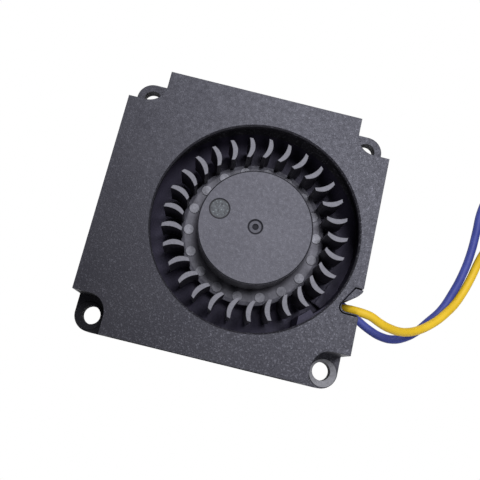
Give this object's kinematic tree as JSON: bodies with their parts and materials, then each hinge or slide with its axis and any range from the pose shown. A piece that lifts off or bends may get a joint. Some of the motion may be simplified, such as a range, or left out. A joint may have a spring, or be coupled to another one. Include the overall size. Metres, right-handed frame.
{
  "type": "dc blower fan",
  "caption": "Flat square centrifugal fan with a round top inlet, a side outlet, four corner mounting tabs and a pair of leads that end in a small connector.",
  "frame": {"origin": "centre of the square body's underside", "axes": "+Z out of the air inlet, along the rotor's axis; the air outlet faces -Y; the leads leave on the +X side"},
  "size_m": [0.0826, 0.0422, 0.01],
  "materials": {
    "dark_plastic": "fine spark texture",
    "putty": "matte, grainy",
    "steel": "zinc plated",
    "ferrite": "plastic-bonded ferrite, matte",
    "brass": "turned",
    "natural_plastic": "satin",
    "sintered_bronze": "porous, oiled",
    "stack_steel": "punched sheets",
    "copper_wire": "enamelled",
    "tinned_metal": "bright tin",
    "board": "solder mask",
    "chip_black": "moulded",
    "chip_brown": "ceramic",
    "yellow_insulation": "extruded, satin",
    "blue_insulation": "extruded, satin"
  },
  "bodies": {
    "housing": {"base_housing": "dark_plastic", "top_cover": "dark_plastic", "bearing_tube": "brass", "sleeve_bearing": "sintered_bronze", "oil_seal": "natural_plastic", "thrust_pad": "natural_plastic", "stator_core": "stack_steel", "upper_insulator": "natural_plastic", "lower_insulator": "natural_plastic", "winding_1": "copper_wire", "winding_2": "copper_wire", "winding_3": "copper_wire", "winding_4": "copper_wire", "winding_pins": "tinned_metal", "circuit_board": "board", "driver_ic": "chip_black", "chip_capacitor": "chip_brown", "chip_resistor": "chip_black", "lead_conductors": "copper_wire", "solder_joints": "tinned_metal", "yellow_lead": "yellow_insulation", "blue_lead": "blue_insulation", "yellow_lead_coil": "yellow_insulation", "blue_lead_coil": "blue_insulation", "yellow_lead_tail": "yellow_insulation", "blue_lead_tail": "blue_insulation", "coil_tie": "natural_plastic", "connector_housing": "natural_plastic", "crimp_contacts": "tinned_metal"},
    "rotor": {"impeller": "dark_plastic", "balance_putty": "putty", "rotor_yoke": "steel", "magnet_ring": "ferrite", "shaft": "steel", "shaft_boss": "brass", "retaining_clip": "natural_plastic"}
  },
  "joints": [
    {"name": "rotor_spin", "type": "hinge", "parent": "housing", "child": "rotor", "pos_m": [0.0029, 0, 0], "axis": [0, 0, 1], "continuous": true}
  ]
}
